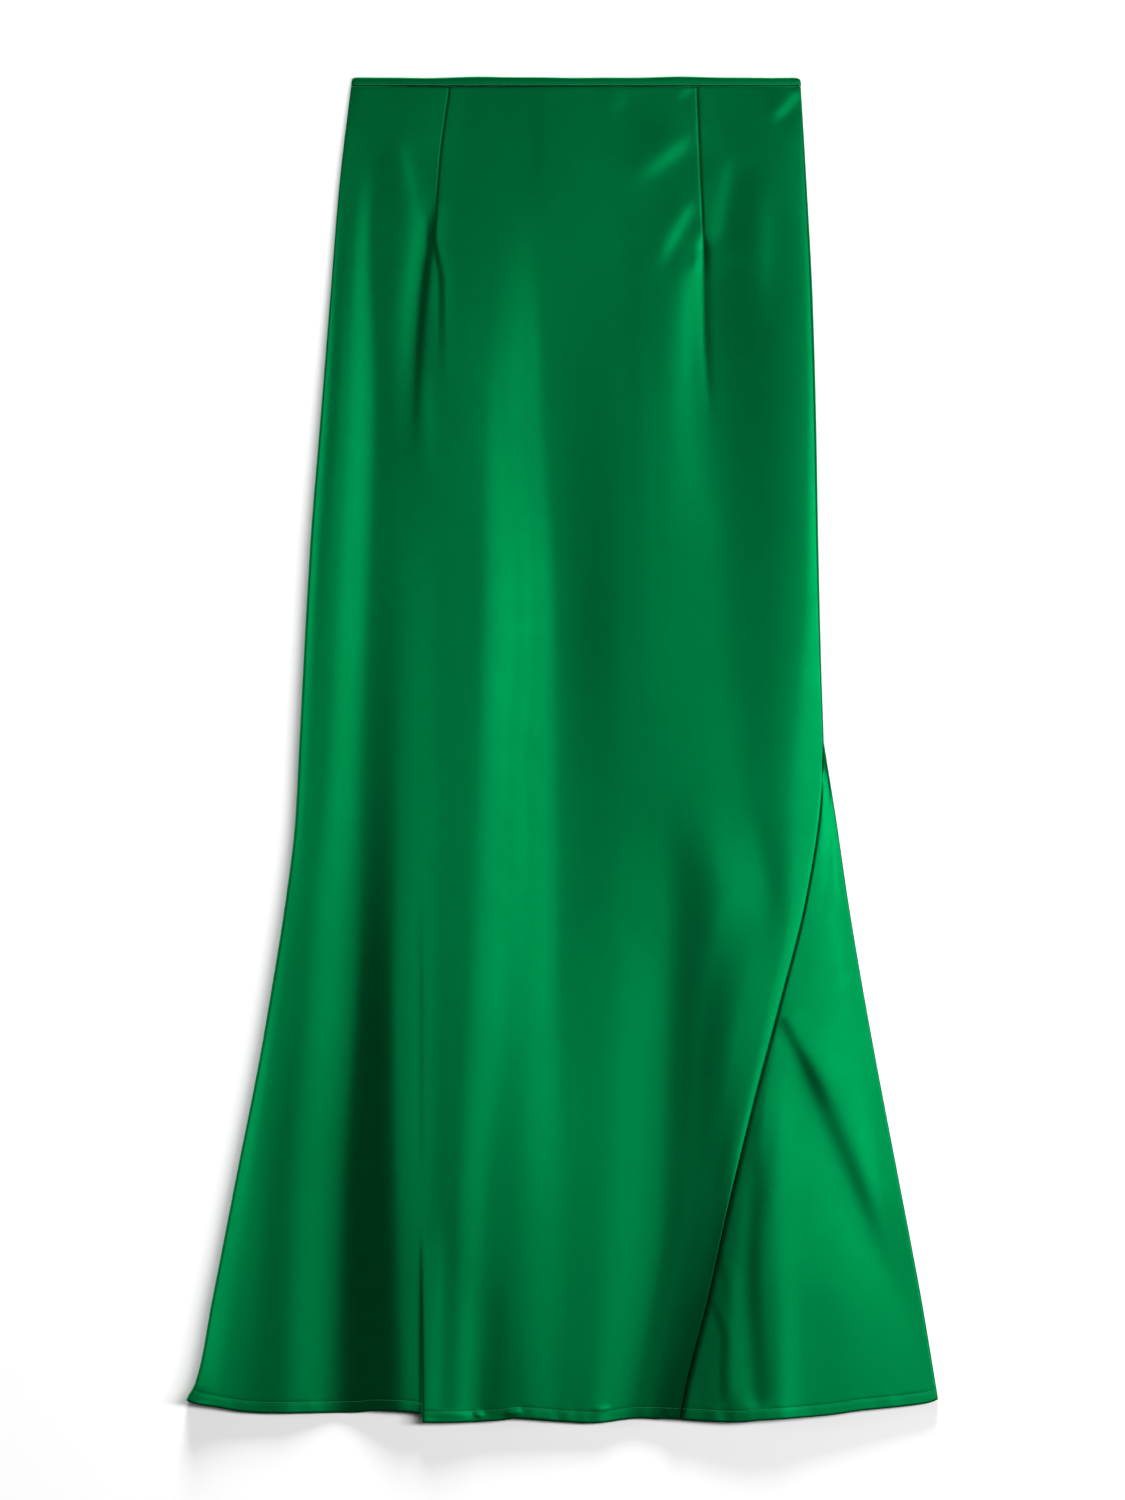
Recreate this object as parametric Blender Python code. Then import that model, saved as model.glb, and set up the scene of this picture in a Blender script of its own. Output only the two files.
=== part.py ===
# A long bias cut skirt of satin, laid flat and face up on a surface. +Y runs to the waist and +X to the
# right of someone who looks down at it. The back panel rests flat on the surface. The front panel and its
# flare insert lie on the back, lifted by soft folds, and a narrow binding holds the waist.
#
# Sizes are in millimetres. "Across" is x from the middle of the laid skirt, "down" is measured from the
# waist edge towards the hem, and "lift" is a height above the place where that layer lies flat.
import bpy
import numpy as np

MM = 0.001

LENGTH = 969.0  # waist edge to the lowest point of the hem
CLOTH_WALL = 1.0
HEM_WALL = 1.2  # the cloth is turned up along the hem
HEM_DEPTH = 8.0
HEM_STEP = 1.5  # the length over which the turned hem starts
SEAM_GAP = 0.3

BINDING_DEPTH = 6.5
BINDING_WALL = 1.3
BINDING_FLARE = 1.0  # how much wider each end of the binding is at its lower edge
BINDING_STEPS = 8  # mesh steps round each of the binding's two folds
BODY_TOP = BINDING_DEPTH + SEAM_GAP  # where the panels start below the binding
FRONT_BASE = CLOTH_WALL + SEAM_GAP  # the front's underside where it lies flat on the back

# Outline of the laid skirt: a column for each height where a side edge changes its run.
LEFT_EDGE = {
    "down": (0, 75, 160, 247, 333, 420, 478, 535, 593, 650, 708, 794, 881, 940, 953),
    "across": (-151, -160, -167, -174, -181, -186, -189, -192, -199, -208, -218, -235, -252, -264, -271),
}
RIGHT_EDGE = {
    "down": (0, 75, 160, 247, 333, 420, 479),
    "across": (171.5, 176, 180.5, 183, 184.5, 186.5, 188.5),
    "lift": (0, 0, 0, 0, 0, 0.1, 0.4),
}
# The flare insert starts at the side seam, where the outline turns out, and widens to the hem.
INSERT_EDGE = {
    "down": (479, 535, 593, 650, 708, 794, 881, 953),
    "across": (188.5, 197.5, 206, 215.5, 226, 242.5, 259, 271),
}
INSERT_SEAM = {
    "down": (479, 521, 593, 665, 737, 809, 881, 945, 969),
    "across": (188.5, 186, 175, 157, 138, 120, 104, 88, 83.5),
    "lift": (0.4, 1.8, 4.8, 7.0, 6.0, 4.5, 3.5, 3.0, 3.0),
}
INSERT_TOP = 491.0  # where the insert is just wide enough to be cut

# The hem's line: it waves a little, and steps where the pleat brings two lengths together.
FRONT_HEM = {
    "across": (-271, -262, -245, -227, -206, -150, -133, -112, -84, -45, -33, 3, 22, 57, 83),
    "down": (952, 955, 958, 961, 962, 961.5, 960, 961.5, 968.5, 967, 965.5, 968, 969, 965.5, 966),
}
INSERT_HEM = {
    "across": (84, 127, 144, 161, 196, 213, 248, 265, 271),
    "down": (966, 968, 966.5, 965.5, 962.5, 960, 956.5, 954, 951.5),
}
BACK_HEM = {
    "across": (-271, -262, -227, -150, -112, -60, 0, 83, 161, 213, 271),
    "down": (950, 953, 958.5, 959, 959, 963, 964, 964, 963, 957.5, 949.5),
}

# Fold lines of the front panel from left to right, read at these distances down. Each is a crest, a valley
# or the edge of a slope. Each dart is a valley that ends in one of the folds below it.
FRONT_STATIONS = (6.8, 60, 117, 233, 377, 521, 665, 809, 966)
FRONT_FOLDS = (
    {
        "name": "left_crest",
        "across": (-141, -148, -154, -164, -173, -181, -196, -208, -213),
        "lift": (0.2, 0.8, 1.6, 4.0, 6.5, 7.5, 9.5, 11.5, 13.5),
    },
    {
        "name": "left_valley",
        "across": (-117, -120, -122, -127, -126, -130, -138, -141, -141),
        "lift": (0.2, 0.7, 0.7, 0.5, 0.4, 0.4, 0.4, 0.6, 1.0),
    },
    {
        "name": "main_foot",
        "across": (-106, -108, -111, -118, -118, -120, -122, -118, -108),
        "lift": (0.3, 0.9, 1.1, 2.6, 4.5, 5.0, 4.5, 4.0, 3.5),
    },
    {
        "name": "main_shoulder",
        "across": (-95, -97, -100, -106, -106, -105, -102, -93, -79),
        "lift": (0.3, 1.2, 2.2, 6.0, 10.5, 12.0, 12.2, 12.0, 12.4),
    },
    {
        "name": "left_dart_and_crest",
        "across": (-81, -88, -92, -83, -74, -76, -80, -76, -62),
        "lift": (0.1, 0.2, 0.8, 7.0, 12.0, 13.0, 13.0, 13.2, 14.0),
    },
    {
        "name": "main_shelf",
        "across": (-50, -52, -53, -45, -41, -41, -45, -47, -45),
        "lift": (0.4, 1.3, 2.2, 6.4, 9.4, 10.0, 8.8, 8.0, 8.8),
    },
    {
        "name": "main_shelf_end",
        "across": (-30, -30, -30, -25, -22, -24, -30, -35, -33),
        "lift": (0.4, 1.1, 1.9, 4.8, 6.4, 7.0, 7.3, 7.6, 8.4),
    },
    {
        "name": "centre_valley",
        "across": (9, 9, 9, 6, 18, 16, 15, 17, 3),
        "lift": (0.2, 0.5, 0.6, 0.8, 0.9, 0.9, 0.9, 1.2, 2.0),
    },
    {
        "name": "second_crest",
        "across": (45, 43, 42, 40, 43, 38, 40, 36, 22),
        "lift": (0.3, 0.8, 1.0, 2.0, 3.4, 4.8, 6.8, 8.0, 9.0),
    },
    {
        "name": "second_valley",
        "across": (71, 71, 71, 63, 60, 91, 98, 86, 62),
        "lift": (0.4, 1.1, 1.4, 2.5, 3.6, 2.4, 1.6, 1.4, 1.4),
    },
    {
        "name": "right_dart_and_crest",
        "across": (97, 99, 101.5, 84, 76, 107, 126, 97, 69),
        "lift": (0.1, 0.2, 0.8, 3.6, 4.6, 5.6, 7.8, 2.6, 1.9),
    },
    {
        "name": "third_valley",
        "across": (132, 130, 112, 108, 130, 146, 138, 104, 73.5),
        "lift": (0.4, 1.0, 1.2, 1.3, 1.7, 2.4, 6.6, 4.2, 2.8),
    },
    {
        "name": "side_crest",
        "across": (154, 154, 156, 160, 166, 168, 148, 112, 78),
        "lift": (0.2, 1.2, 2.2, 3.6, 5.0, 6.0, 8.2, 5.6, 3.8),
    },
)
FRONT_STEPS = (5, 5, 3, 9, 3, 3, 2, 5, 4, 4, 4, 4, 3, 3)  # mesh steps between neighbouring fold lines
FRONT_ROWS = 34  # rows of the mesh above the turned hem

INSERT_STATIONS = (491, 521, 593, 665, 737, 809, 881, 966)
INSERT_FOLDS = (
    {
        "name": "seam_trough",
        "across": (188.7, 187.5, 179, 164, 147, 133, 125, 121),
        "lift": (0.5, 1.8, 4.6, 6.4, 4.4, 3.2, 2.8, 2.6),
    },
    {
        "name": "insert_crest",
        "across": (189.2, 189.5, 184, 171, 155, 155, 154, 155),
        "lift": (0.5, 1.7, 4.3, 6.4, 7.4, 8.6, 9.6, 11.0),
    },
    {
        "name": "insert_crease",
        "across": (189.6, 191.5, 189.5, 178, 186, 214, 240, 252),
        "lift": (0.4, 1.5, 3.8, 5.2, 4.2, 3.8, 3.4, 4.0),
    },
    {
        "name": "edge_crest",
        "across": (190.0, 193.5, 195, 188, 203, 227, 249, 261),
        "lift": (0.3, 1.2, 3.1, 5.2, 5.6, 4.8, 3.2, 2.4),
    },
)
INSERT_STEPS = (2, 3, 4, 2, 2)

# The pleat at the hem: the cloth along this line runs back over itself, more and more towards the hem.
PLEAT = {
    "down": (780, 830, 881, 969),
    "across": (-103, -101.5, -99, -95),
    "turn": (0.0, 0.9, 1.8, 2.6),
}
PLEAT_REACH = 10.5

# Where the front lifts well clear, the back follows it a little way up.
BACK_CLEAR_LIFT = 6.0
BACK_FOLLOW = 0.25
BACK_SOFTNESS = 1.5
BACK_ROWS = 24
BACK_COLUMNS = 34

SHARP_ANGLE = 50.0  # degrees
SATIN = {"colour": (0.0, 0.19, 0.055), "roughness": 0.38, "metallic": 0.5}
BINDING_SATIN = {"colour": (0.0, 0.15, 0.045), "roughness": 0.42, "metallic": 0.4}


def smooth_through(places, values, at):
    """A curve through the values that is level at each crest and valley and never passes them."""
    places = np.asarray(places, float)
    values = np.asarray(values, float)
    gaps = np.diff(places)
    rises = np.diff(values) / gaps
    slopes = np.zeros(len(places))
    slopes[0] = rises[0]
    slopes[-1] = rises[-1]
    for i in range(1, len(places) - 1):
        if rises[i - 1] * rises[i] > 0:
            before = 2 * gaps[i] + gaps[i - 1]
            after = gaps[i] + 2 * gaps[i - 1]
            slopes[i] = (before + after) / (before / rises[i - 1] + after / rises[i])
    span = np.clip(np.searchsorted(places, at) - 1, 0, len(gaps) - 1)
    gap = gaps[span]
    t = np.clip((at - places[span]) / gap, 0.0, 1.0)
    start = values[span] * (1 + 2 * t) * (1 - t) ** 2 + gap * slopes[span] * t * (1 - t) ** 2
    end = values[span + 1] * t * t * (3 - 2 * t) + gap * slopes[span + 1] * t * t * (t - 1)
    return start + end


def read(table, column, down):
    return float(smooth_through(table["down"], table[column], down))


def front_limits(down):
    """(across, lift) of the front panel's left edge, and of its right edge or its seam to the insert."""
    right = RIGHT_EDGE if down < INSERT_SEAM["down"][0] else INSERT_SEAM
    return (read(LEFT_EDGE, "across", down), 0.0), (read(right, "across", down), read(right, "lift", down))


def insert_limits(down):
    seam = (read(INSERT_SEAM, "across", down) + SEAM_GAP, read(INSERT_SEAM, "lift", down))
    return seam, (read(INSERT_EDGE, "across", down), 0.0)


def back_limits(down):
    right = RIGHT_EDGE if down < INSERT_EDGE["down"][0] else INSERT_EDGE
    return read(LEFT_EDGE, "across", down), read(right, "across", down)


FRONT = {
    "limits": front_limits,
    "stations": FRONT_STATIONS,
    "folds": FRONT_FOLDS,
    "steps": FRONT_STEPS,
    "hem": FRONT_HEM,
}
INSERT = {
    "limits": insert_limits,
    "stations": INSERT_STATIONS,
    "folds": INSERT_FOLDS,
    "steps": INSERT_STEPS,
    "hem": INSERT_HEM,
}


def section(cut, down):
    """Across and lift of both edges and every fold line of a cut piece, at one distance down."""
    first, last = cut["limits"](down)
    across = [float(smooth_through(cut["stations"], fold["across"], down)) for fold in cut["folds"]]
    lift = [float(smooth_through(cut["stations"], fold["lift"], down)) for fold in cut["folds"]]
    return np.array([first[0], *across, last[0]]), np.array([first[1], *lift, last[1]])


def spread(marks, steps):
    """Even steps inside each span between neighbouring marks."""
    runs = [np.linspace(marks[i], marks[i + 1], count, endpoint=False) for i, count in enumerate(steps)]
    return np.append(np.concatenate(runs), marks[-1])


def row_downs(rows, hem_down):
    """Distances down of a column's rows: even ones, then three that hold the turned hem."""
    turned = hem_down - HEM_DEPTH
    return [*np.linspace(BODY_TOP, turned - HEM_STEP, rows), turned, hem_down - HEM_DEPTH / 2, hem_down]


def hem_wall(down, hem_down):
    risen = np.clip((down - (hem_down - HEM_DEPTH - HEM_STEP)) / HEM_STEP, 0.0, 1.0)
    return float(CLOTH_WALL + (HEM_WALL - CLOTH_WALL) * risen)


def folded_back(across, down):
    """Moves a point sideways so that the cloth doubles back along the pleat."""
    offset = across - read(PLEAT, "across", down)
    turn = read(PLEAT, "turn", down)
    return across - offset * turn * np.exp(-((offset / PLEAT_REACH) ** 2))


def cut_columns(cut):
    """The hem point of every column of a cut piece."""
    marks, _ = section(cut, cut["stations"][-1])
    return smooth_through(cut["hem"]["across"], cut["hem"]["down"], spread(marks, cut["steps"]))


def cut_point(cut, column, down, hem_down):
    """Middle point of the cloth at one column and one distance down, with the wall there."""
    marks, lifts = section(cut, down)
    across = spread(marks, cut["steps"])[column]
    wall = hem_wall(down, hem_down)
    lift = float(smooth_through(marks, lifts, across))
    return across, down, FRONT_BASE + wall / 2 + lift, wall


def wall_normals(points, plumb_columns):
    """Outward directions of a grid of points. A piece's edge at a seam is cut plumb."""
    along = np.gradient(points, axis=1)
    down = np.gradient(points, axis=0)
    normals = np.cross(down, along)
    normals /= np.linalg.norm(normals, axis=2, keepdims=True)
    for column in plumb_columns:
        normals[:, column] = (0.0, 0.0, 1.0)
    return normals


def material(name, look):
    made = bpy.data.materials.new(name)
    made.use_nodes = True
    shader = made.node_tree.nodes["Principled BSDF"]
    shader.inputs["Base Color"].default_value = (*look["colour"], 1.0)
    shader.inputs["Roughness"].default_value = look["roughness"]
    shader.inputs["Metallic"].default_value = look["metallic"]
    made.diffuse_color = (*look["colour"], 1.0)
    return made


def add_object(name, vertices, faces, look):
    """Makes an object from vertices given as across, down and height."""
    placed = [(across * MM, (LENGTH / 2 - down) * MM, height * MM) for across, down, height in vertices]
    mesh = bpy.data.meshes.new(name)
    mesh.from_pydata(placed, [], faces)
    mesh.materials.append(material(name, look))
    mesh.shade_smooth()
    mesh.set_sharp_from_angle(angle=np.radians(SHARP_ANGLE))
    bpy.context.scene.collection.objects.link(bpy.data.objects.new(name, mesh))


def cloth_wall(name, grid, plumb_columns, look):
    """A closed wall round a grid of (across, down, height, wall) rows."""
    points = grid[:, :, :3]
    half = wall_normals(points * (1, -1, 1), plumb_columns) * (1, -1, 1) * grid[:, :, 3:] / 2
    vertices = np.concatenate([(points + half).reshape(-1, 3), (points - half).reshape(-1, 3)])
    rows, columns = points.shape[:2]
    under = rows * columns
    faces = []
    for row in range(rows - 1):
        for column in range(columns - 1):
            corner = row * columns + column
            quad = (corner, corner + columns, corner + columns + 1, corner + 1)
            faces.append(quad)
            faces.append(tuple(under + index for index in reversed(quad)))
    rim = list(range(columns))
    rim += [row * columns + columns - 1 for row in range(1, rows)]
    rim += [(rows - 1) * columns + column for column in range(columns - 2, -1, -1)]
    rim += [row * columns for row in range(rows - 2, 0, -1)]
    for here, after in zip(rim, rim[1:] + rim[:1]):
        faces.append((here, after, under + after, under + here))
    add_object(name, vertices, faces, look)


def front_panel():
    hem = cut_columns(FRONT)
    columns = []
    for column, hem_down in enumerate(hem):
        points = [cut_point(FRONT, column, down, hem_down) for down in row_downs(FRONT_ROWS, hem_down)]
        columns.append([(folded_back(across, down), down, height, wall) for across, down, height, wall in points])
    cloth_wall("front_panel", np.array(columns).transpose(1, 0, 2), (-1,), SATIN)


def flare_insert():
    """The insert shares the rows of the front panel's seam, so the gap between them stays even."""
    hem = cut_columns(INSERT)
    seam_hem = cut_columns(FRONT)[-1]
    shared = [down for down in row_downs(FRONT_ROWS, seam_hem) if down > INSERT_TOP + HEM_DEPTH]
    seam_rows = np.array([INSERT_TOP, *shared])
    columns = []
    for column, hem_down in enumerate(hem):
        stretch = (hem_down - INSERT_TOP) / (seam_hem - INSERT_TOP)
        downs = INSERT_TOP + (seam_rows - INSERT_TOP) * stretch
        columns.append([cut_point(INSERT, column, down, hem_down) for down in downs])
    cloth_wall("flare_insert", np.array(columns).transpose(1, 0, 2), (0, -1), SATIN)


def front_lift(across, down):
    """Lift of the front panel or the insert above a point of the back."""
    marks, lifts = section(FRONT, down)
    if across > marks[-1]:
        marks, lifts = section(INSERT, max(down, INSERT_TOP))
    return float(smooth_through(marks, lifts, min(across, marks[-1])))


def back_panel():
    shares = np.linspace(0.0, 1.0, BACK_COLUMNS)
    left, right = back_limits(BACK_HEM["down"][0])
    hem = smooth_through(BACK_HEM["across"], BACK_HEM["down"], left + shares * (right - left))
    columns = []
    for share, hem_down in zip(shares, hem):
        points = []
        for down in row_downs(BACK_ROWS, hem_down):
            left, right = back_limits(down)
            across = left + share * (right - left)
            clear = front_lift(across, down) - BACK_CLEAR_LIFT
            rounded = (clear + np.hypot(clear, BACK_SOFTNESS) - BACK_SOFTNESS) / 2
            lift = BACK_FOLLOW * max(rounded, 0.0)
            points.append((across, down, CLOTH_WALL / 2 + lift, CLOTH_WALL))
        columns.append(points)
    cloth_wall("back_panel", np.array(columns).transpose(1, 0, 2), (0, -1), SATIN)


def binding_loop(down, flare, inset):
    """One loop of the flat ring round the waist, at its upper or lower edge, outside or inside."""
    radius = BINDING_WALL + SEAM_GAP / 2
    reach = radius - inset
    right = read(RIGHT_EDGE, "across", 0)
    left = read(LEFT_EDGE, "across", 0)
    turns = np.linspace(-np.pi / 2, np.pi / 2, BINDING_STEPS + 1)
    loop = [(right + flare - radius + reach * np.cos(a), down, radius + reach * np.sin(a)) for a in turns]
    loop += [(left - flare + radius - reach * np.cos(a), down, radius - reach * np.sin(a)) for a in turns]
    return loop


def waist_binding():
    loops = (
        binding_loop(0.0, 0.0, 0.0),
        binding_loop(0.0, 0.0, BINDING_WALL),
        binding_loop(BINDING_DEPTH, BINDING_FLARE, BINDING_WALL),
        binding_loop(BINDING_DEPTH, BINDING_FLARE, 0.0),
    )
    count = len(loops[0])
    faces = []
    for ring in range(len(loops)):
        here = ring * count
        other = (ring + 1) % len(loops) * count
        for i in range(count):
            j = (i + 1) % count
            faces.append((here + i, other + i, other + j, here + j))
    add_object("waist_binding", [point for loop in loops for point in loop], faces, BINDING_SATIN)


def main():
    for old in list(bpy.data.objects):
        bpy.data.objects.remove(old, do_unlink=True)
    back_panel()
    front_panel()
    flare_insert()
    waist_binding()


main()
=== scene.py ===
import math

import bpy
import numpy as np
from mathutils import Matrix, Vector


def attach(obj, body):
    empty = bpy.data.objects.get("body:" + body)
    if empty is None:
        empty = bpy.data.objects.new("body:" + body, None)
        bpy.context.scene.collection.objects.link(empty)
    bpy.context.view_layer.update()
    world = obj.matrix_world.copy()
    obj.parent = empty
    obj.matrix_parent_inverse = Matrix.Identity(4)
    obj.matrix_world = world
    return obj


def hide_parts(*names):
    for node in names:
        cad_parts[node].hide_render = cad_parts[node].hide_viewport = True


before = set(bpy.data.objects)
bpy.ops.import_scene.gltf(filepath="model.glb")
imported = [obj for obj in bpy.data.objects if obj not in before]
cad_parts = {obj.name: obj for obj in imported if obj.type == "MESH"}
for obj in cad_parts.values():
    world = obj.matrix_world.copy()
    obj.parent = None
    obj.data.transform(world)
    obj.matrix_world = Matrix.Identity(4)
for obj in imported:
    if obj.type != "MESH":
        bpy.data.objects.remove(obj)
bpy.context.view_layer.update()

# A long satin skirt laid flat, face up. Sizes are in millimetres until a mesh is made: "across" is x from
# the middle, "down" is the distance from the waist edge, "lift" is a height above where a layer lies flat.
mm = 0.001

skirt = {
    "length": 969.0,
    "wall": 1.0,  # the solids' wall, whose outer face the cloth follows
    "seamGap": 0.3,
    "least": 0.001,  # the least distance between two fold lines
    "cloth": 0.6,  # thickness of the shell that shows
    "bodyTop": 6.8,
    "topRoll": (0.9, 0.35),  # the rounding under the binding: how far down, and how deep
    "hemDepth": 8.0,
    "hemThicker": 0.25,
    "sharpAngle": 62,  # degrees, past which an edge of a shell looks sharp
}

leftEdge = {
    "down": (0, 75, 160, 247, 333, 420, 478, 535, 593, 650, 708, 794, 881, 940, 953),
    "across": (-151, -160, -167, -174, -181, -186, -189, -192, -199, -208, -218, -235, -252, -264, -271),
}
rightEdge = {
    "down": (0, 75, 160, 247, 333, 420, 479),
    "across": (171.5, 176, 180.5, 183, 184.5, 186.5, 188.5),
}
insertEdge = {
    "down": (479, 535, 593, 650, 708, 794, 881, 953),
    "across": (188.5, 197.5, 206, 215.5, 226, 242.5, 259, 271),
}
insertSeam = {
    "down": (479, 521, 593, 665, 737, 809, 881, 945, 969),
    "across": (188.5, 186, 175, 157, 138, 120, 104, 88, 83.5),
    "lift": (4.2, 4.6, 5.2, 5.8, 6.1, 6.9, 7.8, 8.8, 9.2),
    "sink": (0, 0, 0, 0, 0.2, 1.0, 1.4, 1.7, 1.8),  # how far below the front's edge the insert starts
    "climb": (481, 500),  # from here to there the seam climbs over the rounded side fold
}


def place(name, data):  # an object at the origin
    made = bpy.data.objects.new(name, data)
    bpy.context.scene.collection.objects.link(made)
    return made


# ---- shader building


class Wire:  # a socket that takes part in sums
    def __init__(self, builder, socket):
        self.builder = builder
        self.socket = socket

    def maths(self, operation, *inputs):
        node = self.builder.node("ShaderNodeMath", {"operation": operation}, inputs)
        return Wire(self.builder, node.outputs[0])

    def __add__(self, other):
        return self.maths("ADD", self, other)

    def __radd__(self, other):
        return self.maths("ADD", other, self)

    def __sub__(self, other):
        return self.maths("SUBTRACT", self, other)

    def __rsub__(self, other):
        return self.maths("SUBTRACT", other, self)

    def __mul__(self, other):
        return self.maths("MULTIPLY", self, other)

    def __rmul__(self, other):
        return self.maths("MULTIPLY", other, self)

    def __truediv__(self, other):
        return self.maths("DIVIDE", self, other)

    def __rtruediv__(self, other):
        return self.maths("DIVIDE", other, self)

    def sine(self):
        return self.maths("SINE", self)

    def floor(self):
        return self.maths("FLOOR", self)


class Builder:  # adds nodes to a tree
    def __init__(self, tree):
        self.tree = tree

    def node(self, kind, settings=None, values=()):
        made = self.tree.nodes.new(kind)
        for key, value in (settings or {}).items():
            setattr(made, key, value)
        pairs = values.items() if isinstance(values, dict) else enumerate(values)
        for key, value in pairs:
            self.give(made, key, value)
        return made

    def give(self, node, key, value):
        if isinstance(value, Wire):
            self.tree.links.new(value.socket, node.inputs[key])
        else:
            node.inputs[key].default_value = value

    def out(self, node, name=0):
        return Wire(self, node.outputs[name])

    def made(self, kind, settings=None, values=(), name=0):
        return self.out(self.node(kind, settings, values), name)


class Finish(Builder):  # one material and its nodes
    def __init__(self, name):
        self.material = bpy.data.materials.new(name)
        self.material.use_nodes = True
        super().__init__(self.material.node_tree)
        self.shader = self.tree.nodes["Principled BSDF"]

    def feed(self, name, value):
        self.give(self.shader, name, value)

    def noise(self, spot, scale, detail):
        return self.made("ShaderNodeTexNoise", None, {"Vector": spot, "Scale": scale, "Detail": detail})

    def mixed(self, share, first, second):  # a colour between two others
        sockets = {"Factor": share, 6: (*first, 1.0), 7: (*second, 1.0)}  # 6, 7 and output 2 are the colours
        return self.made("ShaderNodeMix", {"data_type": "RGBA"}, sockets, 2)


satin = {
    "deep": (0.0, 0.104, 0.027),
    "bright": (0.0, 0.116, 0.032),
    "metallic": 0.98,
    "roughness": 0.42,
    "roughSpread": 0.05,
    "tint": (0.0, 1.0, 0.55, 1.0),
    "bias": 45,  # degrees that the weave is turned by
    "cloudScale": 9.0,
    "slubScale": 60.0,
    "threadPitch": 0.00016,  # metres, like the cloth's UV map
    "floatLength": 5.0,  # threads that one satin float passes over
    "floatStep": 2.0,  # threads from one float's start to its neighbour's
    "weaveHeight": 0.00002,
    "weaveStrength": 0.25,
}


def satinFinish(name, roughness, depth):
    made = Finish(name)
    cloth = made.made("ShaderNodeUVMap", {"uv_map": "cloth"})
    turned = {"Vector": cloth, "Rotation": (0, 0, math.radians(satin["bias"]))}
    bias = made.made("ShaderNodeMapping", {"vector_type": "POINT"}, turned)
    threads = made.node("ShaderNodeSeparateXYZ", None, (bias,))
    warp = made.out(threads, "X") / satin["threadPitch"]
    weft = made.out(threads, "Y") / satin["threadPitch"]
    step = warp.floor() * (2 * math.pi * satin["floatStep"] / satin["floatLength"])
    ribs = (warp * (2 * math.pi)).sine() * 0.5
    floats = (weft * (2 * math.pi / satin["floatLength"]) + step).sine() * 0.5
    weave = {"Strength": satin["weaveStrength"], "Distance": satin["weaveHeight"], "Height": ribs + floats}
    cloud = made.noise(cloth, satin["cloudScale"], 3.0)
    slubs = made.noise(bias, satin["slubScale"], 4.0)
    dark, light = ([part * depth for part in satin[shade]] for shade in ("deep", "bright"))
    made.feed("Base Color", made.mixed(cloud, dark, light))
    made.feed("Roughness", (slubs - 0.5) * satin["roughSpread"] + roughness)
    made.feed("Metallic", satin["metallic"])
    made.feed("Specular Tint", satin["tint"])
    made.feed("Normal", made.made("ShaderNodeBump", None, weave))
    return made.material


thread = {
    "dark": (0.0, 0.09, 0.025),
    "light": (0.0, 0.2, 0.065),
    "roughness": 0.5,
    "roughSpread": 0.1,
    "shadeScale": 140.0,
    "twistScale": 900.0,
    "twistHeight": 0.00003,
    "twistStrength": 0.4,
}


def threadFinish():
    made = Finish("sewingThread")
    spot = made.made("ShaderNodeTexCoord", name="Object")
    waves = {"Vector": spot, "Scale": thread["twistScale"]}
    twist = made.made("ShaderNodeTexWave", {"bands_direction": "DIAGONAL"}, waves)
    shade = made.noise(spot, thread["shadeScale"], 2.0)
    bump = {"Strength": thread["twistStrength"], "Distance": thread["twistHeight"], "Height": twist}
    made.feed("Base Color", made.mixed(shade, thread["dark"], thread["light"]))
    made.feed("Roughness", twist * thread["roughSpread"] + thread["roughness"])
    made.feed("Normal", made.made("ShaderNodeBump", None, bump))
    return made.material


# ---- curves and grids

bend = {
    "fullness": 0.98,  # how much of a quarter turn a rounded edge makes
    "pathSteps": 14,  # short runs between two points of a crease's path
    "reach": 9.0,  # how many of its widths away a crease is still worked out
    "stepFade": 4.5,  # how many widths away a step has died down
}


def slopesThrough(places, values):  # level at crests and valleys, along the first axis
    gaps = np.diff(places, axis=0)
    rises = np.diff(values, axis=0) / gaps
    slopes = np.zeros_like(values)
    slopes[0] = rises[0]
    slopes[-1] = rises[-1]
    before = 2 * gaps[1:] + gaps[:-1]
    after = gaps[1:] + 2 * gaps[:-1]
    same = rises[:-1] * rises[1:] > 0
    first = np.where(same, rises[:-1], 1.0)
    second = np.where(same, rises[1:], 1.0)
    slopes[1:-1] = np.where(same, (before + after) / (before / first + after / second), 0.0)
    return slopes


def between(share, gap, low, high, lowSlope, highSlope):  # a cubic curve with these heights and slopes
    start = low * (1 + 2 * share) * (1 - share) ** 2 + gap * lowSlope * share * (1 - share) ** 2
    end = high * share ** 2 * (3 - 2 * share) + gap * highSlope * share ** 2 * (share - 1)
    return start + end


def smoothAt(places, values, at):  # a smooth curve through a few values, which never overshoots them
    places = np.asarray(places, float)
    values = np.asarray(values, float)
    slopes = slopesThrough(places, values)
    span = np.clip(np.searchsorted(places, at) - 1, 0, len(places) - 2)
    gap = places[span + 1] - places[span]
    share = np.clip((at - places[span]) / gap, 0.0, 1.0)
    return between(share, gap, values[span], values[span + 1], slopes[span], slopes[span + 1])


def fromTable(table, column, down):
    return smoothAt(table["down"], table[column], down)


def liftAcross(marks, lifts, across):  # marks and lifts are stacks, one layer for each fold line
    slopes = slopesThrough(marks, lifts)
    span = np.clip((across[None] > marks).sum(axis=0) - 1, 0, len(marks) - 2)

    def pick(stack, layer):
        return np.take_along_axis(stack, layer[None], axis=0)[0]

    low = pick(marks, span)
    gap = pick(marks, span + 1) - low
    share = np.clip((across - low) / gap, 0.0, 1.0)
    ends = [pick(stack, layer) for stack in (lifts, slopes) for layer in (span, span + 1)]
    return between(share, gap, *ends)


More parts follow.
